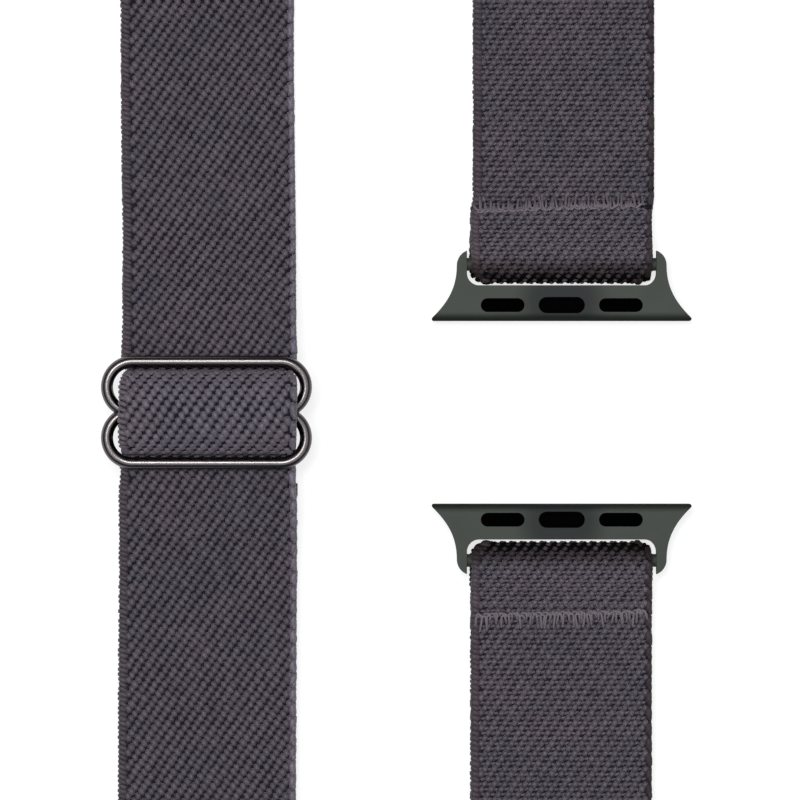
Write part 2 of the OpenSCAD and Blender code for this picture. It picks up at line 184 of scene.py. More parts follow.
def covered_rubber():
    """The covered rubber cords and weft under the floats, the pits of the weave: their dark colour is partly
    their own and partly painted shade.
    """
    made, tree, shader = material("shaded weft of the webbing")
    place = add(tree, "ShaderNodeTexCoord").outputs["Object"]
    # Weft threads about 0.3 mm apart
    grain = add(tree, "ShaderNodeTexNoise", {"Vector": place, "Scale": 3000.0, "Detail": 2.0})
    ramp = add(tree, "ShaderNodeValToRGB", {"Fac": grain.outputs["Fac"]})
    ramp.color_ramp.elements[0].color = srgb("#12111b")
    ramp.color_ramp.elements[1].color = srgb("#25222e")
    # Painted shade: the tone attribute darkens the core towards the noses of the folds
    tone = add(tree, "ShaderNodeAttribute", attribute_name="tone").outputs["Fac"]
    shaded = add(tree, "ShaderNodeVectorMath", {0: ramp.outputs["Color"], "Scale": tone}, operation="SCALE")
    tree.links.new(shaded.outputs[0], shader.inputs["Base Color"])
    shader.inputs["Roughness"].default_value = 0.9
    shader.inputs["Specular IOR Level"].default_value = 0.1
    return made


def sewing_thread():
    """Twisted polyester thread, a little lighter and smoother than the yarn."""
    made, tree, shader = material("twisted polyester thread")
    place = add(tree, "ShaderNodeTexCoord").outputs["Object"]
    # The twist shows as ridges about 0.1 mm apart
    twist = add(tree, "ShaderNodeTexNoise", {"Vector": place, "Scale": 9000.0, "Detail": 1.0})
    ramp = add(tree, "ShaderNodeValToRGB", {"Fac": twist.outputs["Fac"]})
    ramp.color_ramp.elements[0].color = srgb("#5b5358")
    ramp.color_ramp.elements[1].color = srgb("#756d72")
    bump = add(tree, "ShaderNodeBump", {"Height": twist.outputs["Fac"], "Strength": 0.4, "Distance": 0.00004})
    tree.links.new(ramp.outputs["Color"], shader.inputs["Base Color"])
    tree.links.new(bump.outputs["Normal"], shader.inputs["Normal"])
    shader.inputs["Roughness"].default_value = 0.6
    return made


def gunmetal_wire():
    """Steel wire, polished and plated in dark gunmetal: dark reflections with sharp bright lines."""
    made, tree, shader = material("gunmetal plated steel wire")
    place = add(tree, "ShaderNodeTexCoord").outputs["Object"]
    # Fine draw marks and wear, blotches about 1.5 mm across
    wear = add(tree, "ShaderNodeTexNoise", {"Vector": place, "Scale": 700.0, "Detail": 4.0})
    ramp = add(tree, "ShaderNodeMapRange", {"Value": wear.outputs["Fac"], "To Min": 0.16, "To Max": 0.3})
    tree.links.new(ramp.outputs["Result"], shader.inputs["Roughness"])
    shader.inputs["Base Color"].default_value = srgb("#635e5e")
    shader.inputs["Metallic"].default_value = 1.0
    return made


# How far the painted shade of the base edge reaches, and how far the latch lies from that edge
BASE_SHADE_REACH = 1.1 * MM
LATCH_REACH = 2.2 * MM


def coated_steel():
    """Bead-blasted steel with a dark olive-grey coating: satin, with a very fine grain. Along the edges that
    slide in the watch case it is darkened with painted shade, and round the latch it is drawn darker and faintly
    bluish. It is drawn darker along the edges that slide in the watch case and faintly bluish round the latch,
    as it looks from above; whether that is its colour or shade isn't known."""
    made, tree, shader = material("bead-blasted steel, matte coated")
    place = add(tree, "ShaderNodeTexCoord").outputs["Object"]
    # Blasting leaves a grain of about 0.08 mm, and the coating clouds of about 4.5 mm
    grain = add(tree, "ShaderNodeTexNoise", {"Vector": place, "Scale": 12000.0, "Detail": 2.0})
    cloud = add(tree, "ShaderNodeTexNoise", {"Vector": place, "Scale": 220.0, "Detail": 2.0})
    ramp = add(tree, "ShaderNodeValToRGB", {"Fac": cloud.outputs["Fac"]})
    ramp.color_ramp.elements[0].color = srgb("#383d37")
    ramp.color_ramp.elements[1].color = srgb("#42473f")
    axes = add(tree, "ShaderNodeSeparateXYZ", {"Vector": place}).outputs
    from_middle = add(tree, "ShaderNodeMath", {0: axes["Y"]}, operation="ABSOLUTE").outputs[0]
    # Painted shade: towards the base edge the colour falls to 0.12 of itself, and the gloss with it
    # The two lugs mirror each other, so one distance from the middle gives the edge of both
    edge = add(tree, "ShaderNodeMapRange", {"Value": from_middle, "From Min": base_edge,
                                            "From Max": base_edge + BASE_SHADE_REACH, "To Min": 0.12, "To Max": 1.0})
    shaded = add(tree, "ShaderNodeVectorMath", {0: ramp.outputs["Color"], "Scale": edge.outputs["Result"]},
                 operation="SCALE")
    aside = add(tree, "ShaderNodeMath", {0: axes["X"], 1: right_x}, operation="SUBTRACT").outputs[0]
    past = add(tree, "ShaderNodeMath", {0: from_middle, 1: base_edge + LATCH_REACH},
               operation="SUBTRACT").outputs[0]
    apart = add(tree, "ShaderNodeCombineXYZ", {"X": aside, "Y": past}).outputs[0]
    apart = add(tree, "ShaderNodeVectorMath", {0: apart}, operation="LENGTH").outputs["Value"]
    near = add(tree, "ShaderNodeMapRange", {"Value": apart, "From Min": 3.0 * MM, "From Max": 6.5 * MM,
                                            "To Min": 0.9, "To Max": 0.0}, interpolation_type="SMOOTHSTEP")
    tinted = add(tree, "ShaderNodeMix", {"Factor": near.outputs["Result"], 6: shaded.outputs[0],
                                         7: srgb("#1d2221")}, data_type="RGBA")
    bump = add(tree, "ShaderNodeBump", {"Height": grain.outputs["Fac"], "Strength": 0.15,
                                        "Distance": 0.00002})
    tree.links.new(tinted.outputs[2], shader.inputs["Base Color"])
    tree.links.new(bump.outputs["Normal"], shader.inputs["Normal"])
    gloss = add(tree, "ShaderNodeMath", {0: edge.outputs["Result"], 1: 0.2}, operation="MULTIPLY").outputs[0]
    tree.links.new(gloss, shader.inputs["Specular IOR Level"])
    shader.inputs["Roughness"].default_value = 0.55
    return made


def black_polymer(name, roughness):
    """Black moulded plastic or rubber, with a faint moulded grain."""
    made, tree, shader = material(name)
    place = add(tree, "ShaderNodeTexCoord").outputs["Object"]
    # Spark-eroded mould texture of about 0.1 mm
    grain = add(tree, "ShaderNodeTexNoise", {"Vector": place, "Scale": 10000.0, "Detail": 2.0})
    bump = add(tree, "ShaderNodeBump", {"Height": grain.outputs["Fac"], "Strength": 0.2, "Distance": 0.00002})
    tree.links.new(bump.outputs["Normal"], shader.inputs["Normal"])
    shader.inputs["Base Color"].default_value = srgb("#010101")
    shader.inputs["Roughness"].default_value = roughness
    shader.inputs["Specular IOR Level"].default_value = 0.005
    return made


def spring_steel():
    """Bright drawn spring wire."""
    made, tree, shader = material("bright spring steel")
    place = add(tree, "ShaderNodeTexCoord").outputs["Object"]
    # Draw marks of the wire, about 0.1 mm apart
    marks = add(tree, "ShaderNodeTexNoise", {"Vector": place, "Scale": 9000.0, "Detail": 2.0})
    bump = add(tree, "ShaderNodeBump", {"Height": marks.outputs["Fac"], "Strength": 0.1, "Distance": 0.00001})
    tree.links.new(bump.outputs["Normal"], shader.inputs["Normal"])
    shader.inputs["Base Color"].default_value = srgb("#b8b8b4")
    shader.inputs["Metallic"].default_value = 1.0
    shader.inputs["Roughness"].default_value = 0.3
    return made


YARN = elastic_yarn()
CORE = covered_rubber()
THREAD = sewing_thread()
WIRE = gunmetal_wire()
COATED = coated_steel()
PLASTIC = black_polymer("moulded black acetal", 0.5)
RUBBER = black_polymer("moulded black rubber", 0.8)
SPRING = spring_steel()


# The strap, as lengths that follow their middle line. Across points from the ribbed edge to the plain one

# How far the floats stand out of the core of the strap, on its faces and at its edges
RELIEF = 0.3 * MM
EDGE_RELIEF = 0.14 * MM


class Length:
    """A length of strap: its middle line, the normals of its twill face, its half width and its thickness."""

    def __init__(self, middle, normals, across, half, thickness=strap_t):
        self.middle = np.array(middle, float)
        self.normals = unit(np.array(normals, float))
        self.across = unit(np.array(across, float))
        self.half = np.full(len(self.middle), 1.0) * half
        self.core_t = (np.full(len(self.middle), 1.0) * thickness) / 2 - RELIEF


def in_yz(x, path, half, twill_up=1, thickness=strap_t):
    """A length square to X. The twill face is to the left of the path, or to the right."""
    path = np.array(path, float)
    steps = np.gradient(path, axis=0)
    heading = unit(steps)
    normals = np.stack([np.zeros(len(path)), -heading[:, 1], heading[:, 0]], 1) * twill_up
    middle = np.column_stack([np.full(len(path), 1.0) * x, path])
    return Length(middle, normals, np.tile(X_AXIS, (len(path), 1)), half, thickness)


def straight(start, end, height, step=1.0 * MM):
    count = max(2, int(abs(end - start) / step))
    return [(y, height) for y in np.linspace(start, end, count)]


def arc(centre, ry, rz, start, end, steps):
    angles = np.radians(np.linspace(start, end, steps + 1))
    return [(centre[0] + ry * math.cos(a), centre[1] + rz * math.sin(a)) for a in angles]


def fall(start, end, steps=16):
    share = np.linspace(0, 1, steps + 1)
    (y, z), (end_y, end_z) = start, end
    return [(y + (end_y - y) * u, z + (end_z - z) * float(smooth(u))) for u in share]


CORNER_STEPS = 4


def core_section(half, core_t):
    """Outline of the core: flat faces with round edges, as (across, out) pairs, counter-clockwise."""
    flat = half - EDGE_RELIEF - core_t
    angles = np.radians(np.linspace(-90, 90, 2 * CORNER_STEPS + 1))
    right = [(flat + core_t * math.cos(a), core_t * math.sin(a)) for a in angles]
    return np.array(right + [(-x, -y) for x, y in right])


def core(length):
    """Vertices and faces of the closed core of a length of strap."""
    rings = []
    stations = zip(length.middle, length.normals, length.across, length.half, length.core_t)
    for middle, normal, across, half, core_t in stations:
        section = core_section(half, core_t)
        rings.append(middle + section[:, :1] * across + section[:, 1:] * normal)
    corners = len(rings[0])
    vertices = np.concatenate(rings)
    faces = []
    for i in range(len(rings) - 1):
        for j in range(corners):
            a, b = i * corners + j, i * corners + (j + 1) % corners
            faces.append((a, b, b + corners, a + corners))
    last = (len(rings) - 1) * corners
    half_ring = corners // 2
    for k in range(half_ring - 1):
        quad = (k, k + 1, corners - 2 - k, corners - 1 - k)
        faces.append(quad[::-1])
        faces.append(tuple(last + n for n in quad))
    forward = np.cross(length.across[0], length.normals[0]) @ (length.middle[1] - length.middle[0])
    if forward < 0:
        faces = [face[::-1] for face in faces]
    return vertices, faces


# The weave. Floats of warp yarn stand in rows across the strap. Each row lies a third of a
# column further to the right than the row below it
class Weave:
    """Pitches and yarn sizes of one face of the strap, and how light its yarn is. On the back of the
    twill short rungs of weft lie between the floats."""

    def __init__(self, column, row, length, width, lean, tone=1.0, rung=None):
        self.column = column
        self.row = row
        self.size = np.array([width / 2, length / 2, RELIEF])
        self.lean = math.radians(lean)
        self.tone = tone
        self.rung = rung and np.array([rung[1] / 2, rung[0] / 2, RELIEF * 0.62])


TWILL = Weave(column=1.22 * MM, row=0.60 * MM, length=1.02 * MM, width=0.79 * MM, lean=19, tone=0.88)
# Painted light: the arch's yarn is drawn lighter than that of the runs
STRETCHED = Weave(column=1.34 * MM, row=0.72 * MM, length=1.22 * MM, width=0.86 * MM, lean=17, tone=1.17)
PEBBLE = Weave(column=1.24 * MM, row=0.63 * MM, length=0.86 * MM, width=0.73 * MM, lean=-32, tone=0.95,
               rung=(0.66 * MM, 0.38 * MM))
FOLDED = Weave(column=1.24 * MM, row=0.59 * MM, length=0.82 * MM, width=0.77 * MM, lean=-34, tone=1.03,
               rung=(0.60 * MM, 0.31 * MM))
# The inside of the upper turn is drawn a tenth coarser than it is, because its piece carries both faces
# and stays under 200,000 triangles
COARSE = Weave(column=1.38 * MM, row=0.71 * MM, length=0.96 * MM, width=0.82 * MM, lean=-32, tone=0.95,
               rung=(0.73 * MM, 0.42 * MM))
RUNG_RISE = math.radians(13)
RIB_BAND = 1.05 * MM
PLAIN_BAND = 0.75 * MM


class Rows:
    """The rows of floats on one face of a length: for each, its place on the core and its directions."""

    def __init__(self, length, side, weave, start, opens):
        surface = length.middle + length.normals * (length.core_t * side)[:, None]
        # Where the webbing opens at a bend, its rows stand further apart
        bend = smooth((1 - np.abs(length.normals[1:, 2])) / 0.3) * (opens & (np.abs(surface[1:, 1]) < bar_y))
        steps = np.linalg.norm(np.diff(surface, axis=0), axis=1) / (1 + 0.3 * bend)
        run = start + np.concatenate([[0], np.cumsum(steps)])
        self.number = np.arange(math.ceil(run[0] / weave.row), math.ceil(run[-1] / weave.row))
        marks = self.number * weave.row

        def at(values):
            if values.ndim == 1:
                return np.interp(marks, run, values)
            return np.stack([np.interp(marks, run, column) for column in values.T], 1)

        self.place = at(surface)
        self.along = unit(at(np.gradient(surface, axis=0)))
        self.up = unit(at(length.normals)) * side
        self.across = unit(at(length.across))
        self.half = at(length.half)
        self.core_t = at(length.core_t)

    def __iter__(self):
        return zip(self.number, self.place, self.up, self.along, self.across, self.half, self.core_t)


def nose_shade(y):
    """How light the strap is as it bends down to the noses of its folds. This stands in for the shade
    of the lug's slot, and stays when a lug turns."""
    return 1.0 - 0.92 * smooth((bar_y - np.abs(y) + 1.4 * MM) / (3.2 * MM))


def seats(length, side, weave, start, opens, edges, jitter=0.045 * MM):
    """Where the floats and the ribs of the edges sit on one face: place, up, way, size and tone of each.
    Edges gives how light the ribbed band, the plain one and the two sides beyond them are."""
    rng = np.random.default_rng(7)
    back = weave.rung is not None
    found = []
    for number, place, up, along, across, half, core_t in Rows(length, side, weave, start, opens):
        bend = float(smooth((1.0 - abs(up[2])) / 0.3)) * (opens and abs(place[1]) < bar_y)
        # On the noses the tone is painted shade: the floats are darkened less than the core, so their tops look
        # lit over gaps painted nearly black
        tone = weave.tone * (float(nose_shade(place[1])) * (1 + 2.2 * bend) if opens else 1.0)
        right = np.cross(along, up)
        handed = 1.0 if right @ across > 0 else -1.0
        lean = math.cos(weave.lean) * along - math.sin(weave.lean) * right
        rise = math.cos(RUNG_RISE) * right + math.sin(RUNG_RISE) * along

        def seat(at, way, size, up=up, shade=1.0):
            chance = rng.uniform(0.88 - 0.4 * bend, 1.12 + 1.2 * bend)
            found.append((at, up, way, size, tone * shade * chance))

        shift = (number / 3) % 1
        count = int(2 * half / weave.column) + 2
        for column in range(-count // 2 - 1, count // 2 + 2):
            reach = (column + shift) * weave.column * handed
            if -half + RIB_BAND < reach < half - PLAIN_BAND:
                off = rng.uniform(-jitter, jitter, 2)
                seat(place + (reach + off[0]) * across + off[1] * along, lean, weave.size * (1 - 0.25 * bend))
            reach += weave.column / 2 * handed
            if back and bend < 0.7 and -half + RIB_BAND < reach < half - PLAIN_BAND:
                off = rng.uniform(-jitter, jitter, 2)
                seat(place + (reach + off[0]) * across + off[1] * along, rise, weave.rung * (1 - bend))
        rib = across - 0.4 * along * handed
        seat(place + (RIB_BAND * 0.5 - half + 0.03 * MM) * across, rib,
             (0.40 * MM if back else 0.31 * MM, 0.68 * MM, RELIEF), shade=edges[0])
        if side > 0:
            edge = place - up * core_t
            for outward, shade in ((-across, edges[2]), (across, edges[3])):
                seat(edge + (half - EDGE_RELIEF) * outward, up, (0.37 * MM, 0.60 * MM, EDGE_RELIEF),
                     outward, shade)
        if number % 3 == 0:
            seat(place + (half - PLAIN_BAND * 0.62) * across, along, (0.44 * MM, 0.90 * MM, RELIEF),
                 shade=edges[1])
        elif number % 3 == 1:
            seat(place + (half - PLAIN_BAND * 0.42) * across, along, (0.30 * MM, 0.50 * MM, RELIEF),
                 shade=edges[1])
    return found


def float_mesh(segments=8, rings=((0.0, 1.0), (0.58, 0.76), (1.0, 0.0)), foot=-0.35):
    """One float of yarn: a closed dome of unit size, long in Y, that stands on the core. Its
    outline is between an oval and a rectangle, as the yarn dips steeply at both ends."""
    vertices = [(0.0, 0.0, rings[0][1])]
    for reach, height in rings[1:]:
        for k in range(segments):
            angle = 2 * math.pi * k / segments
            x, y = math.cos(angle), math.sin(angle)
            square = (x ** 4 + y ** 4) ** -0.25
            vertices.append((reach * x * square, reach * y * square, height))
    faces = [(0, 1 + k, 1 + (k + 1) % segments) for k in range(segments)]
    for ring in range(len(rings) - 2):
        a = 1 + ring * segments
        for k in range(segments):
            n = (k + 1) % segments
            faces.append((a + k, a + segments + k, a + segments + n, a + n))
    last = 1 + (len(rings) - 2) * segments
    vertices.append((0.0, 0.0, foot))
    faces += [(len(vertices) - 1, last + (k + 1) % segments, last + k) for k in range(segments)]
    return vertices, faces


def new_object(name, vertices, faces, *materials):
    mesh = bpy.data.meshes.new(name)
    mesh.from_pydata([tuple(v) for v in vertices], [], [tuple(int(n) for n in f) for f in faces])
    mesh.update()
    for each in materials:
        mesh.materials.append(each)
    made = bpy.data.objects.new(name, mesh)
    bpy.context.scene.collection.objects.link(made)
    return made


def shade_smooth(piece):
    piece.data.polygons.foreach_set("use_smooth", [True] * len(piece.data.polygons))


FLOAT = new_object("float_of_yarn", *float_mesh())


def weave_tree():
    """Geometry nodes that stand a float on each seat, a little uneven, and join them to the core."""
    tree = bpy.data.node_groups.new("floats on their seats", "GeometryNodeTree")
    for title, kind in (("Geometry", "Geometry"), ("Seats", "Object"), ("Float", "Object"),
                        ("Yarn", "Material"), ("Unevenness", "Float"), ("Twist", "Float"), ("Seed", "Int")):
        tree.interface.new_socket(title, in_out="INPUT", socket_type="NodeSocket" + kind)
    tree.interface.new_socket("Geometry", in_out="OUTPUT", socket_type="NodeSocketGeometry")
    given = add(tree, "NodeGroupInput").outputs
    points = add(tree, "GeometryNodeObjectInfo", {"Object": given["Seats"]}).outputs["Geometry"]
    shape = add(tree, "GeometryNodeObjectInfo", {"Object": given["Float"]}).outputs["Geometry"]
    vector = {name: add(tree, "GeometryNodeInputNamedAttribute", {"Name": name}, data_type="FLOAT_VECTOR")
              .outputs["Attribute"] for name in ("up", "way", "size")}
    turn = add(tree, "FunctionNodeAxesToRotation",
               {"Primary Axis": vector["up"], "Secondary Axis": vector["way"]},
               primary_axis="Z", secondary_axis="Y").outputs["Rotation"]
    least_turn = add(tree, "ShaderNodeMath", {0: 0.0, 1: given["Twist"]}, operation="SUBTRACT").outputs[0]
    about = add(tree, "FunctionNodeRandomValue", {2: least_turn, 3: given["Twist"], "Seed": given["Seed"]},
                data_type="FLOAT").outputs[1]
    spin = add(tree, "ShaderNodeCombineXYZ", {"Z": about}).outputs[0]
    spun = add(tree, "FunctionNodeRotateRotation", {"Rotation": turn, "Rotate By": spin},
               rotation_space="LOCAL")
    least = add(tree, "ShaderNodeMath", {0: 1.0, 1: given["Unevenness"]}, operation="SUBTRACT").outputs[0]
    most = add(tree, "ShaderNodeMath", {0: 1.0, 1: given["Unevenness"]}, operation="ADD").outputs[0]
    factor = add(tree, "FunctionNodeRandomValue", {2: least, 3: most, "Seed": given["Seed"]},
                 data_type="FLOAT").outputs[1]
    scale = add(tree, "ShaderNodeVectorMath", {0: vector["size"], "Scale": factor},
                operation="SCALE").outputs[0]
    stood = add(tree, "GeometryNodeInstanceOnPoints",
                {"Points": points, "Instance": shape, "Rotation": spun.outputs[0], "Scale": scale}).outputs[0]
    made = add(tree, "GeometryNodeRealizeInstances", {"Geometry": stood}).outputs[0]
    soft = add(tree, "GeometryNodeSetShadeSmooth", {"Geometry": made}).outputs[0]
    finished = add(tree, "GeometryNodeSetMaterial", {"Geometry": soft, "Material": given["Yarn"]}).outputs[0]
    joined = add(tree, "GeometryNodeJoinGeometry")
    tree.links.new(given["Geometry"], joined.inputs[0])
    tree.links.new(finished, joined.inputs[0])
    end = add(tree, "NodeGroupOutput")
    tree.links.new(joined.outputs[0], end.inputs[0])
    return tree


WEAVE_TREE = weave_tree()


def grown(piece, tree, values):
    """Sets a tree's inputs by their names and runs it on a piece, as a plain mesh."""
    modifier = piece.modifiers.new(tree.name, "NODES")
    modifier.node_group = tree
    for item in tree.interface.items_tree:
        if item.item_type == "SOCKET" and item.in_out == "INPUT" and item.name in values:
            modifier[item.identifier] = values[item.name]
    bpy.context.view_layer.update()
    mesh = bpy.data.meshes.new_from_object(piece.evaluated_get(bpy.context.evaluated_depsgraph_get()))
    piece.modifiers.clear()
    return mesh


def point_cloud(name, found):
    """Seats as loose vertices that carry their up, way, size and tone."""
    piece = new_object(name, [seat[0] for seat in found], [])
    for index, title in ((1, "up"), (2, "way"), (3, "size")):
        attribute = piece.data.attributes.new(title, "FLOAT_VECTOR", "POINT")
        attribute.data.foreach_set("vector", np.array([seat[index] for seat in found], np.float32).ravel())
    attribute = piece.data.attributes.new("tone", "FLOAT", "POINT")
    attribute.data.foreach_set("value", np.array([seat[4] for seat in found], np.float32))
    return piece


def woven(name, length, faces, seed, opens=False, edges=(0.8, 1.5, 0.75, 1.7)):
    """A woven length of strap. Faces lists (side, weave, start of the rows) for each face that shows."""
    piece = new_object(name, *core(length), CORE)
    shade_smooth(piece)
    attribute = piece.data.attributes.new("tone", "FLOAT", "POINT")
    # Painted shade on the core: it darkens towards the noses of the folds, more than the floats do
    tones = nose_shade(length.middle[:, 1]) ** 2 if opens else np.ones(len(length.middle))
    attribute.data.foreach_set("value", np.repeat(tones, 4 * CORNER_STEPS + 2).astype(np.float32))
    found = [seat for side, weave, start in faces for seat in seats(length, side, weave, start, opens, edges)]
    cloud = point_cloud(name + "_seats", found)
    bare = piece.data
    piece.data = grown(piece, WEAVE_TREE, {"Seats": cloud, "Float": FLOAT, "Yarn": YARN, "Unevenness": 0.09,
                                           "Twist": 0.14, "Seed": seed})
    bpy.data.meshes.remove(bare)
    piece.data.name = name
    bpy.data.objects.remove(cloud)
    return piece


# Left run, from the top turn to the bottom one
def over_path():
    low = layer_3 + bend_r
    return (
        [(join_y, layer_3)]
        + arc((over_y + bend_r, low), bend_r, bend_r, 270, 180, 8)
        + arc((0, slide_z), over_y, over_h, 0, 180, 48)
        + arc((-over_y - bend_r, low), bend_r, bend_r, 0, -90, 8)
        + [(-join_y, layer_3)]
    )


def wrap_path():
    return (
        [(-wrap_start, layer_1)]
        + arc((wrap_y - bend_r, layer_1 + bend_r), bend_r, bend_r, 270, 360, 8)
        + arc((0, slide_z), wrap_y, wrap_h, 0, 180, 36)
        + arc((-wrap_y - bend_r, layer_2 + bend_r), bend_r, bend_r, 0, -90, 8)
        + [(-hem_end, layer_2)]
    )


BULGE_HALF = 10.95 * MM
PRESSED_IN = 0.55 * MM


def bulge_width(path):
    """The strap is pinched beside the ring ends and spreads over its top."""
    y, height = np.abs(np.array(path)).T
    share = smooth((height - slide_z) / over_h)
    pressed = np.clip(1 - np.abs(y - over_y - 0.5 * MM) / (1.4 * MM), 0, 1)
    return pinched_half + (BULGE_HALF - pinched_half) * share - PRESSED_IN * smooth(pressed)


# The upper run is stretched a little narrower than the lower one
UPPER_HALF, LOWER_HALF = 10.7 * MM, 10.98 * MM
# The strap lies a little to the right of the middle of the slide, more above it than below
DRIFT_ABOVE, DRIFT_BELOW, DRIFT_REACH = 0.36 * MM, 0.16 * MM, 40 * MM


def left_width(y):
    """The strap narrows to the pinch just before it enters the slide."""
    wide = np.where(y > 0, UPPER_HALF, LOWER_HALF)
    return pinched_half + (wide - pinched_half) * smooth((np.abs(y) - over_end) / (3 * MM))


def left_middle(y):
    """The middle line of the left runs, seen from above."""
    y = np.array(y)
    drift = DRIFT_BELOW + (DRIFT_ABOVE - DRIFT_BELOW) * smooth(0.5 + y / (2 * over_end))
    return left_x + drift * (1 - smooth((np.abs(y) - over_end) / DRIFT_REACH))


top_path = (
    straight(join_y, fall_start, layer_3)
    + fall((fall_start, layer_3), (fall_start + fall_single, layer_1))[1:]
    + straight(fall_start + fall_single, run_half, layer_1)[1:]
)
top_y = np.array(top_path)[:, 0]
strand_top = in_yz(left_middle(top_y), top_path, left_width(top_y))
bottom_path = (
    straight(-join_y, -fall_start, layer_3)
    + fall((-fall_start, layer_3), (-fall_start - fall_double, layer_2))[1:]
    + straight(-fall_start - fall_double, -run_half, layer_2)[1:]
)
bottom_y = np.array(bottom_path)[:, 0]
strand_bottom = in_yz(left_middle(bottom_y), bottom_path, left_width(bottom_y), -1)
inner_path = np.array(straight(-wrap_start, -run_half, layer_1))
strand_inner = in_yz(left_middle(inner_path[:, 0]), inner_path, LOWER_HALF, -1)
bulge_y = np.array(over_path())[:, 0]
bulge = in_yz(left_middle(bulge_y), over_path(), bulge_width(over_path()), -1)
wrap_line = np.array(wrap_path())
wrap = in_yz(left_middle(wrap_line[:, 0]), wrap_line, pinched_half, -1)

pieces = {
    "strand_left_top": woven("left_run_top", strand_top, [(1, TWILL, 0), (-1, PEBBLE, 0)], 1),
    "strand_left_bottom_outer": woven("left_run_bottom_outer", strand_bottom, [(1, TWILL, 0)], 2),
    "strand_left_bottom_inner": woven("left_run_bottom_inner", strand_inner, [(-1, TWILL, 0)], 3),
    "strap_over_bar": woven("arch_over_bar", bulge, [(1, STRETCHED, 0)], 4, edges=(0.85, 1.0, 0.8, 1.0)),
    "centre_bar_fold": woven("fold_round_centre_bar", wrap, [(-1, PEBBLE, 0)], 5),
}

# The turns, where the strap comes up, twists and stands on its edge. It is upright after this share of
# a turn, where its two layers part a little
TURN_STEPS = 96
UPRIGHT_SHARE = 0.42
TURN_PARTING = 0.2 * MM
turn_depth = HIGH["turn_top"][1] - run_half - strap_t / 2


def turn(height, aside, side, first_half, last_x):
    """A length that joins the left run to the right one, at the top (side 1) or at the bottom (side -1)."""
    share = np.arange(TURN_STEPS + 1) / TURN_STEPS
    heading = math.pi * smooth(share)
    half_way = math.pi * smooth((share[:-1] + share[1:]) / 2)
    walk = np.concatenate([[[0, 0]], np.cumsum(np.stack([np.sin(half_way), np.cos(half_way)], 1), axis=0)])
    stretch = np.array([(last_x - left_x) / walk[-1, 0], turn_depth / walk[TURN_STEPS // 2, 1]])
    rises, sinks = smooth(share / UPRIGHT_SHARE), 2 - smooth((1 - share) / UPRIGHT_SHARE)
    tilt = np.where(share < 0.5, rises, sinks) * math.pi / 2
    along = unit(np.stack([stretch[0] * np.sin(heading), stretch[1] * np.cos(heading), 0 * heading], 1))
    outward = np.stack([-along[:, 1], along[:, 0], 0 * heading], 1)
    normal = np.cos(tilt)[:, None] * np.array([0, 0, 1.0]) + np.sin(tilt)[:, None] * outward
    across = np.cross(along, normal)
    lift = strap_half * np.sin(tilt) + height * np.sqrt(np.cos(tilt) ** 2 + 0.04 * np.sin(tilt) ** 2)
    parted = aside + np.sign(aside) * TURN_PARTING * np.sin(tilt)
    middle = np.column_stack([left_x + stretch[0] * walk[:, 0], run_half + stretch[1] * walk[:, 1], lift])
    middle = middle + parted[:, None] * normal
    flip = np.array([1.0, side, 1.0])
    half = first_half + (RIGHT_HALF - first_half) * smooth(share)
    return Length(middle * flip, normal * flip, across * flip, half)


RIGHT_HALF = 11.2 * MM
# The upper right run is sewn on a little askew: beyond the stitches it lies to the right
ASKEW = 0.32 * MM
pair_z, pair_aside = (layer_1 + layer_2) / 2, (layer_2 - layer_1) / 2
pieces.update({
    "turn_top": woven("upper_turn", turn(layer_1, 0, 1, UPPER_HALF, right_x + ASKEW),
                      [(1, TWILL, 0), (-1, COARSE, 0)], 6),
    "turn_bottom_outer": woven("lower_turn_outer", turn(pair_z, pair_aside, -1, LOWER_HALF, right_x),
                               [(1, TWILL, 0)], 7),
    "turn_bottom_inner": woven("lower_turn_inner", turn(pair_z, -pair_aside, -1, LOWER_HALF, right_x),
                               [(-1, PEBBLE, 0)], 8),
})


# The right runs and the strap round the lug bars
# Under the bar the strap nearly fills the slot of the lug. On top it is narrower, so that the slot can
# turn over it, and its corners are round at its nose
LOW_HALF, FOLD_HALF = 11.36 * MM, 11.12 * MM
NOSE_R = 1.5 * MM
NOSE_OUT = 0.18 * MM
ear_reach = HIGH["lug_a_frame"][1] - bar_y
# The cut end at lug A is drawn in under the stitches and sewn down flat over its last stretch
tail_end = folded_end - 1.9 * MM
CRUSHED = 1.3 * MM
# Painted shade: on the right runs and the folds the ribbed band, the plain band and both sides beyond them are
# drawn darker
PAINTED_EDGE_SHADE = (0.64, 0.40, 0.2, 0.17)


def low_width(reach):
    """Half width of the strap under the bar and past it, by its distance past the bar."""
    return LOW_HALF + (RIGHT_HALF - LOW_HALF) * smooth((reach - ear_reach) / (2.5 * MM))


def loop_path(end):
    """The strap round a bar that stands at 0, from the table side to its end on top."""
    top = bar_z + loop_r
    path = (
        [(loop_lead, layer_1)]
        + arc((0, bar_z), loop_r + NOSE_OUT, loop_r, 270, 90, 32)
        + fall((loop_lead, top), (loop_end - loop_lead, layer_2))
    )
    path[-1] = (loop_end, layer_2)
    if end > loop_end:
        path += straight(loop_end, end, layer_2, 0.25 * MM)[1:]
    return np.array(path)


def end_thickness(reach):
    """Thickness of the folded end, by its distance past the bar."""
    return strap_t * (1 - 0.5 * smooth((reach - tail_end + CRUSHED) / CRUSHED))


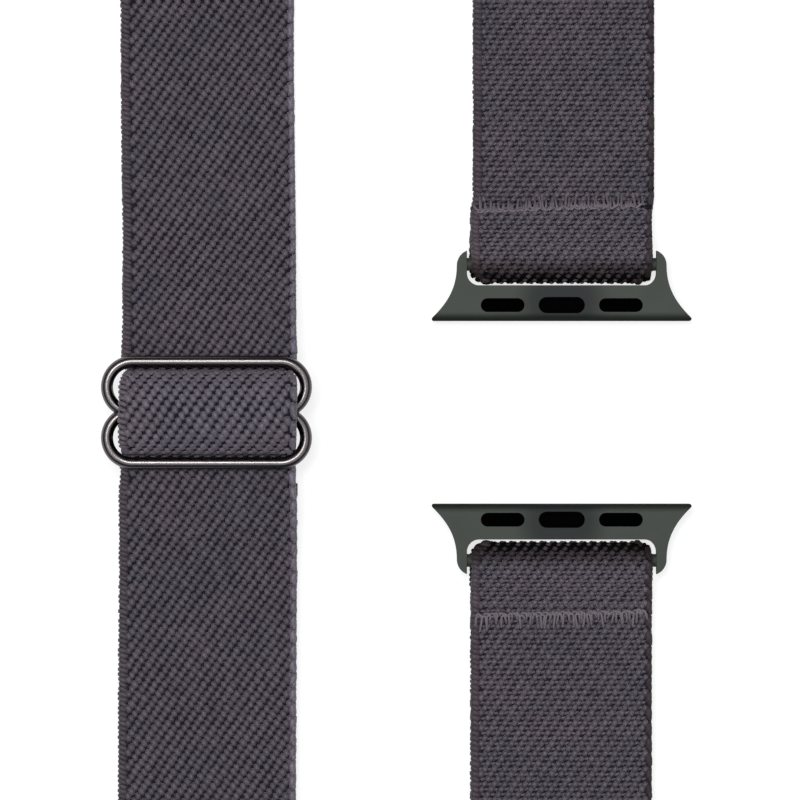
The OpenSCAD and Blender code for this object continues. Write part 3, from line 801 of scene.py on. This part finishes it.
def fold(end, side):
    """The strap round the bar of lug A (side 1) or lug B (side -1)."""
    path = loop_path(end)
    above = path[:, 1] > (layer_1 + layer_2) / 2
    thickness = np.where(above, end_thickness(path[:, 0]), strap_t)
    path[:, 1] -= (strap_t - thickness) / 2
    drawn_in = smooth((path[:, 1] - bar_z - 0.2 * MM) / MM)
    half = low_width(path[:, 0]) * (1 - drawn_in) + FOLD_HALF * drawn_in
    from_nose = np.clip((path[:, 0] + loop_r) / (NOSE_R * 0.8), 0, 1)
    half = half - NOSE_R * (1 - np.sqrt(1 - (1 - from_nose) ** 2))
    path[:, 0] = (path[:, 0] + bar_y) * side
    return in_yz(right_x, path, half, side, thickness)


def right_run(start, end, height):
    """A flat run on the right. Its twill face is down."""
    path = np.array(straight(start, end, height))
    x = right_x + ASKEW * smooth((path[:, 0] - bar_y - loop_end) / (3 * MM))
    half = low_width(np.abs(path[:, 0]) - bar_y)
    return in_yz(x, path, half, -1 if end > start else 1)


pieces.update({
    "strand_right_top": woven("right_run_top", right_run(bar_y + loop_lead, run_half, layer_1),
                              [(-1, PEBBLE, 0), (1, TWILL, 0)], 9, edges=PAINTED_EDGE_SHADE),
    "strand_right_bottom_outer": woven("right_run_bottom_outer",
                                       right_run(-bar_y - loop_lead, -run_half, layer_1),
                                       [(1, TWILL, 0)], 10, edges=PAINTED_EDGE_SHADE),
    "strand_right_bottom_inner": woven("right_run_bottom_inner",
                                       right_run(-bar_y - loop_end, -run_half, layer_2),
                                       [(-1, PEBBLE, 0)], 11, edges=PAINTED_EDGE_SHADE),
    "strap_end_lug_a": woven("folded_end_lug_a", fold(tail_end, 1), [(1, FOLDED, 0)], 12, True, PAINTED_EDGE_SHADE),
    "strap_loop_lug_b": woven("loop_lug_b", fold(loop_end, -1), [(1, FOLDED, 0)], 13, True, PAINTED_EDGE_SHADE),
})


# Sewing thread
def thread_tree():
    """Geometry nodes that make a thread along a curve."""
    tree = bpy.data.node_groups.new("thread along a curve", "GeometryNodeTree")
    for title, kind in (("Geometry", "Geometry"), ("Thickness", "Float"), ("Thread", "Material")):
        tree.interface.new_socket(title, in_out="INPUT", socket_type="NodeSocket" + kind)
    tree.interface.new_socket("Geometry", in_out="OUTPUT", socket_type="NodeSocketGeometry")
    given = add(tree, "NodeGroupInput").outputs
    radius = add(tree, "ShaderNodeMath", {0: given["Thickness"], 1: 0.5}, operation="MULTIPLY").outputs[0]
    ring = add(tree, "GeometryNodeCurvePrimitiveCircle", {"Resolution": 6, "Radius": radius}).outputs["Curve"]
    tube = add(tree, "GeometryNodeCurveToMesh", {"Curve": given["Geometry"], "Profile Curve": ring,
                                                 "Fill Caps": True}).outputs[0]
    made = add(tree, "GeometryNodeRealizeInstances", {"Geometry": tube}).outputs[0]
    soft = add(tree, "GeometryNodeSetShadeSmooth", {"Geometry": made}).outputs[0]
    finished = add(tree, "GeometryNodeSetMaterial",
                   {"Geometry": soft, "Material": given["Thread"]}).outputs[0]
    end = add(tree, "NodeGroupOutput")
    tree.links.new(finished, end.inputs[0])
    return tree


THREAD_TREE = thread_tree()
THREAD_D = 0.34 * MM


def sewn(name, lines, body, node):
    """A row of stitches, from lines of points."""
    curve = bpy.data.curves.new(name + "_curve", "CURVE")
    curve.dimensions = "3D"
    for line in lines:
        spline = curve.splines.new("POLY")
        spline.points.add(len(line) - 1)
        spline.points.foreach_set("co", np.column_stack([line, np.ones(len(line))]).ravel())
    path = bpy.data.objects.new(name + "_path", curve)
    bpy.context.scene.collection.objects.link(path)
    mesh = grown(path, THREAD_TREE, {"Thickness": THREAD_D, "Thread": THREAD})
    mesh.name = name
    piece = bpy.data.objects.new(name, mesh)
    bpy.context.scene.collection.objects.link(piece)
    bpy.data.objects.remove(path)
    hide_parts(node)
    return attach(piece, body)


# Overlock stitches: a ridge of loops along the cut edge, and legs that run from it to the needle holes
LOOP_PITCH = 0.72 * MM
RIDGE_PITCH = 1.5 * MM


def overlock(ridge, slope, side, half, reach, surface, seed):
    """Lines of points of a row across the strap. Side points away from the lug; surface gives the
    height of the strap by how far a point is past the lug's bar."""
    rng = np.random.default_rng(seed)

    def spot(across, out, lift):
        y = ridge + slope * across + side * out
        return right_x + across, y, surface(y * side - bar_y) + lift

    steps = np.arange(-half, half, RIDGE_PITCH / 7)
    lines = []
    for phase in (0.0, 3.1):
        turn = 2 * math.pi * steps / RIDGE_PITCH + phase + np.cumsum(rng.uniform(-0.6, 0.6, len(steps)))
        lines.append([spot(x, 0.22 * MM * math.sin(t), 0.08 * MM + 0.1 * MM * math.cos(t))
                      for x, t in zip(steps, turn)])
    x = -half + 0.2 * MM
    while x < half:
        # A loop turns round at the ridge and both its legs run to needle holes
        width, drop = rng.uniform(0.34, 0.62) * MM, rng.uniform(-0.34, 0.1) * MM
        legs = reach * rng.uniform(0.3, 1.0, 2)
        slants = rng.uniform(-0.3, 0.3, 2) * MM
        loop = []
        for u in np.linspace(-1, 1, 13):
            leg, far = (0 if u < 0 else 1), max(0.0, abs(u) - 0.3) / 0.7
            aside = 0.5 * width * math.sin(math.pi / 2 * max(-1.0, min(1.0, u / 0.45))) + slants[leg] * far
            loop.append(spot(x + aside, drop + 0.12 * MM * min(1.0, abs(u) / 0.3) + legs[leg] * far,
                             0.2 * MM * (1 - 2.0 * far ** 3)))
        lines.append(loop)
        x += LOOP_PITCH * rng.uniform(0.7, 1.35)
    return lines


def folded_top(reach):
    """Height of the top of the strap at lug A: the folded end, then the run under it."""
    falls = smooth((reach - tail_end) / (0.9 * MM))
    end_top = layer_2 - strap_t / 2 + end_thickness(min(reach, tail_end))
    return float(end_top + (layer_1 + strap_t / 2 - end_top) * falls)


def lapped_top(_reach):
    """Height of the top of the strap at lug B, which is level under its stitches."""
    return layer_2 + strap_t / 2


# The rows rise a little to the right, by 0.75 and 0.5 mm over the strap's width
ROW_HALF = RIGHT_HALF - 0.7 * MM
sewn("overlock_lug_a", overlock(25.25 * MM, 0.034, 1, ROW_HALF, 1.6 * MM, folded_top, 22), "strap",
     "stitches_lug_a")
sewn("overlock_lug_b", overlock(-24.85 * MM, 0.022, -1, ROW_HALF, 1.7 * MM, lapped_top, 23), "strap",
     "stitches_lug_b")


def zigzag(x, y, z, half, reach, pitch):
    """Points of a plain zigzag across the strap, which dips at both ends of its legs."""
    tips = np.arange(int(2 * half / pitch) + 1)
    line = []
    for k in tips:
        at, tip = x + (k - len(tips) / 2) * pitch, y + (1 if k % 2 else -1) * reach
        line += [(at - 0.12 * pitch, tip, z - 0.12 * MM), (at + 0.12 * pitch, tip, z - 0.12 * MM),
                 (at + 0.5 * pitch, y, z + 0.1 * MM)]
    return line[:-1]


sewn("hem_zigzag", [zigzag(left_x, MIDDLE["slide_seam"][1], layer_2 + strap_t / 2, pinched_half - MM,
                           SIZE["slide_seam"][1] / 2, 0.62 * MM)], "slide", "slide_seam")

for node, piece in pieces.items():
    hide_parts(node)
for node in ("turn_top", "turn_bottom_outer", "turn_bottom_inner", "strand_right_top",
             "strand_right_bottom_outer", "strand_right_bottom_inner", "strap_end_lug_a", "strap_loop_lug_b"):
    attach(pieces[node], "strap")
for node in ("strap_over_bar", "centre_bar_fold"):
    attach(pieces[node], "slide")
for node, side, near in (("strand_left_top", 1, join_y), ("strand_left_bottom_outer", -1, join_y),
                         ("strand_left_bottom_inner", -1, wrap_start)):
    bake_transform(pieces[node])
bpy.data.objects.remove(FLOAT)


# Finishes of the hard parts
def finish(piece, coat):
    piece.data.materials.clear()
    piece.data.materials.append(coat)


FINISHES = {"guide": PLASTIC, "plunger": PLASTIC, "pad_left": RUBBER, "pad_right": RUBBER}
for node, piece in frame["nodes"].items():
    coat = next((coat for ending, coat in FINISHES.items() if node.endswith(ending)), None)
    if coat:
        finish(piece, coat)
finish(frame["nodes"]["slide_frame"], WIRE)


def stand_in(node, name, coat):
    """A copy of a CAD node with a finish of its own, which replaces the node."""
    piece = bpy.data.objects.new(name, frame["nodes"][node].data.copy())
    bpy.context.scene.collection.objects.link(piece)
    finish(piece, coat)
    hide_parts(node)
    return piece


def springs(node, name, body):
    """The latch springs: a copy of their CAD node in bright spring steel, on their lug, with a mesh of its own.
    """
    piece = stand_in(node, name, SPRING)
    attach(piece, body)
    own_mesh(piece)


springs("lug_a_latch_springs", "coils_lug_a", "lug_a")
springs("lug_b_latch_springs", "coils_lug_b", "lug_b")


def rounded(node, name, base_y, edge=0.16 * MM, base=0.55 * MM):
    """A lug frame with rounded edges, the most along the edge that meets the watch case."""
    piece = stand_in(node, name, COATED)
    mesh = bmesh.new()
    mesh.from_mesh(piece.data)
    bmesh.ops.remove_doubles(mesh, verts=mesh.verts, dist=0.001 * MM)
    bmesh.ops.dissolve_limit(mesh, angle_limit=math.radians(0.5), verts=mesh.verts, edges=mesh.edges)

    def sharp(picked):
        return [each for each in mesh.edges if len(each.link_faces) == 2 and each.is_convex
                and each.calc_face_angle() > math.radians(38) and picked(each)]

    def on_base(each):
        ends = [vert.co for vert in each.verts]
        return all(abs(end.y - base_y) < 0.01 * MM for end in ends) and min(end.z for end in ends) > 1.5 * MM

    for picked, width, steps in ((on_base, base, 5), (lambda each: not on_base(each), edge, 3)):
        bmesh.ops.bevel(mesh, geom=sharp(picked), offset=width, segments=steps, profile=0.5, affect="EDGES",
                        clamp_overlap=True)
    mesh.to_mesh(piece.data)
    mesh.free()
    return piece


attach(rounded("lug_a_frame", "rounded_lug_a", LOW["lug_a_frame"][1]), "lug_a")
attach(rounded("lug_b_frame", "rounded_lug_b", HIGH["lug_b_frame"][1]), "lug_b")


# Floor, light and camera
def floor():
    made, tree, shader = material("white paper floor")
    shader.inputs["Base Color"].default_value = (0.35, 0.35, 0.35, 1.0)
    shader.inputs["Roughness"].default_value = 1.0
    shader.inputs["Specular IOR Level"].default_value = 0.0
    shader.inputs["Emission Color"].default_value = (1.0, 1.0, 1.0, 1.0)
    path = add(tree, "ShaderNodeLightPath").outputs
    seen = add(tree, "ShaderNodeMath", {0: path["Is Camera Ray"], 1: path["Is Glossy Ray"]},
               operation="MAXIMUM")
    seen = add(tree, "ShaderNodeMath", {0: seen.outputs[0], 1: path["Is Transmission Ray"]},
               operation="MAXIMUM")
    glow = add(tree, "ShaderNodeMath", {0: seen.outputs[0], 1: 0.75}, operation="MULTIPLY")
    tree.links.new(glow.outputs[0], shader.inputs["Emission Strength"])
    half = 3.0
    piece = new_object("floor", [(-half, -half, 0), (half, -half, 0), (half, half, 0), (-half, half, 0)],
                       [(0, 1, 2, 3)], made)
    piece.location.z = -0.02 * MM


def softbox(name, place, size, power):
    """A rectangular lamp that faces the middle of the band."""
    lamp = bpy.data.lights.new(name, "AREA")
    lamp.shape = "RECTANGLE"
    lamp.size, lamp.size_y = size
    lamp.energy = power
    made = bpy.data.objects.new(name, lamp)
    made.location = place
    direction = -np.array(place)
    made.rotation_euler = (math.atan2(math.hypot(*direction[:2]), -direction[2]), 0,
                           math.atan2(-direction[0], direction[1]))
    bpy.context.scene.collection.objects.link(made)


def studio():
    floor()
    softbox("overhead softbox", (0.0, 0.0, 1.0), (1.8, 1.25), 8.5)
    softbox("bright strip", (-0.15, 0.2, 1.1), (0.45, 0.22), 5.3)
    world = bpy.data.worlds.new("studio")
    world.use_nodes = True
    bpy.context.scene.world = world
    tree = world.node_tree
    ground = tree.nodes["Background"]
    # A white horizon, and a dim, slightly blue room above it
    direction = add(tree, "ShaderNodeTexCoord").outputs["Generated"]
    height = add(tree, "ShaderNodeSeparateXYZ", {"Vector": direction}).outputs["Z"]
    share = add(tree, "ShaderNodeMapRange", {"Value": height, "From Min": 0.1, "From Max": 0.22},
                interpolation_type="SMOOTHSTEP").outputs["Result"]
    shade = add(tree, "ShaderNodeMix", {"Factor": share, 6: (1.0, 1.0, 1.0, 1.0), 7: (0.085, 0.1, 0.14, 1.0)},
                data_type="RGBA")
    tree.links.new(shade.outputs[2], ground.inputs["Color"])
    bpy.context.scene.view_settings.view_transform = "Standard"


# The photograph shows 98.9 mm at 8.09 pixels a millimetre, seen straight from above
PHOTO_SPAN = 98.9 * MM
PHOTO_MIDDLE = (0.4 * MM, 1.53 * MM)
SENSOR, LENS = 36.0, 300.0


def camera():
    made = bpy.data.cameras.new("camera")
    made.lens = LENS
    made.sensor_width = SENSOR
    made.clip_start = 0.05
    piece = bpy.data.objects.new("camera", made)
    piece.location = (*PHOTO_MIDDLE, PHOTO_SPAN * LENS / SENSOR + layer_2)
    bpy.context.scene.collection.objects.link(piece)
    bpy.context.scene.camera = piece


studio()
camera()
